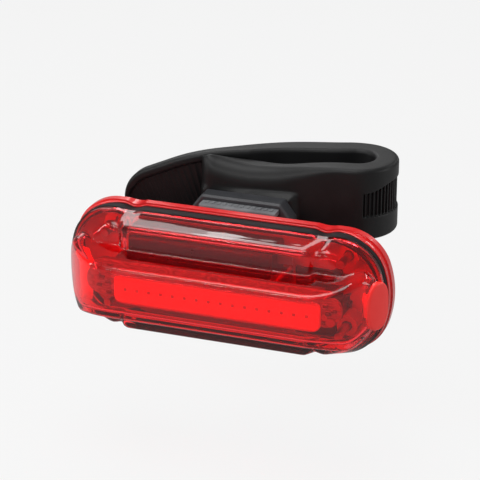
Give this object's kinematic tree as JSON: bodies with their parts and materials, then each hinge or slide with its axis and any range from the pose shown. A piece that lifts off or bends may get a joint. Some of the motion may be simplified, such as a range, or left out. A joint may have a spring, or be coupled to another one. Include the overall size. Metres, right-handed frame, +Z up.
{
  "type": "bicycle rear light",
  "caption": "Red rear light with a raised light bar, side push button, rail bracket and a rubber strap loop for a seat post.",
  "frame": {"origin": "centre of the strap loop's round end, half way up the strap", "axes": "+X along the light towards the push button, +Y away from the lens, +Z up"},
  "size_m": [0.068, 0.0452, 0.0331],
  "materials": {
    "lens_red": "clear red moulded lens, polished outside, prisms inside",
    "seal_dark": "dark seal in the joint",
    "housing_red": "opaque red moulded housing",
    "steel": "plain steel",
    "button_red": "soft satin red button",
    "component_black": "black moulded component",
    "board_white": "white solder mask",
    "strip_phosphor": "translucent coating of the light strip",
    "chip_red": "light chips under the coating",
    "solder": "solder domes",
    "carrier_dark": "dark moulded carrier",
    "cell_wrap": "black shrink wrap",
    "tab_nickel": "nickel strip",
    "board_green": "green solder mask",
    "cover_rubber": "soft black flap",
    "lead_sleeve": "insulated wire",
    "bracket_black": "fine sparked texture",
    "tab_grey": "ridged and textured dark grey",
    "strap_rubber": "satin black rubber"
  },
  "bodies": {
    "bracket": {"bracket_plate": "bracket_black", "bracket_rivets": "steel", "strap_saddle": "strap_rubber", "strap_bend": "strap_rubber"},
    "light": {"front_lens": "lens_red", "seal_gasket": "seal_dark", "rear_housing": "housing_red", "housing_screws": "steel", "switch_body": "component_black", "light_board": "board_white", "board_screws": "steel", "light_strip": "strip_phosphor", "light_chips": "chip_red", "solder_pads": "solder", "board_carrier": "carrier_dark", "battery_cell": "cell_wrap", "battery_tabs": "tab_nickel", "charge_board": "board_green", "charge_parts": "component_black", "charge_socket": "steel", "battery_leads": "lead_sleeve"},
    "button": {"power_button": "button_red"},
    "switch_plunger": {"switch_stem": "component_black"},
    "port_flap": {"port_cover": "cover_rubber"},
    "tab": {"release_tab": "tab_grey"},
    "strap_tail": {"strap_back": "strap_rubber"}
  },
  "joints": [
    {"name": "light_slide", "type": "slide", "parent": "bracket", "child": "light", "axis": [0, 0, -1], "range_m": [0, 0.013]},
    {"name": "button_press", "type": "slide", "parent": "light", "child": "button", "axis": [-1, 0, 0], "range_m": [0, 0.0004], "stiffness_N_per_m": 900, "springref_m": -0.0002},
    {"name": "switch_press", "type": "slide", "parent": "light", "child": "switch_plunger", "axis": [-1, 0, 0], "range_m": [0, 0.0004]},
    {"name": "cover_open", "type": "hinge", "parent": "light", "child": "port_flap", "pos_m": [-0.0016, -0.01685, -0.0262], "axis": [1, 0, 0], "range_deg": [0, 110], "stiffness_Nm_per_rad": 0.0002, "springref_deg": -17.19},
    {"name": "tab_lift", "type": "hinge", "parent": "bracket", "child": "tab", "pos_m": [-0.0197, -0.01395, -0.00145], "axis": [-1, 0, 0], "range_deg": [0, 6], "stiffness_Nm_per_rad": 0.05, "springref_deg": -1.15},
    {"name": "strap_open", "type": "hinge", "parent": "bracket", "child": "strap_tail", "pos_m": [0.00615, 0, 0], "axis": [0, 0, -1], "range_deg": [0, 100], "stiffness_Nm_per_rad": 0.01, "deforming": ["strap_bend"]}
  ],
  "couplings": [
    {"joint": "switch_press", "follows": "button_press", "ratio": 1}
  ]
}
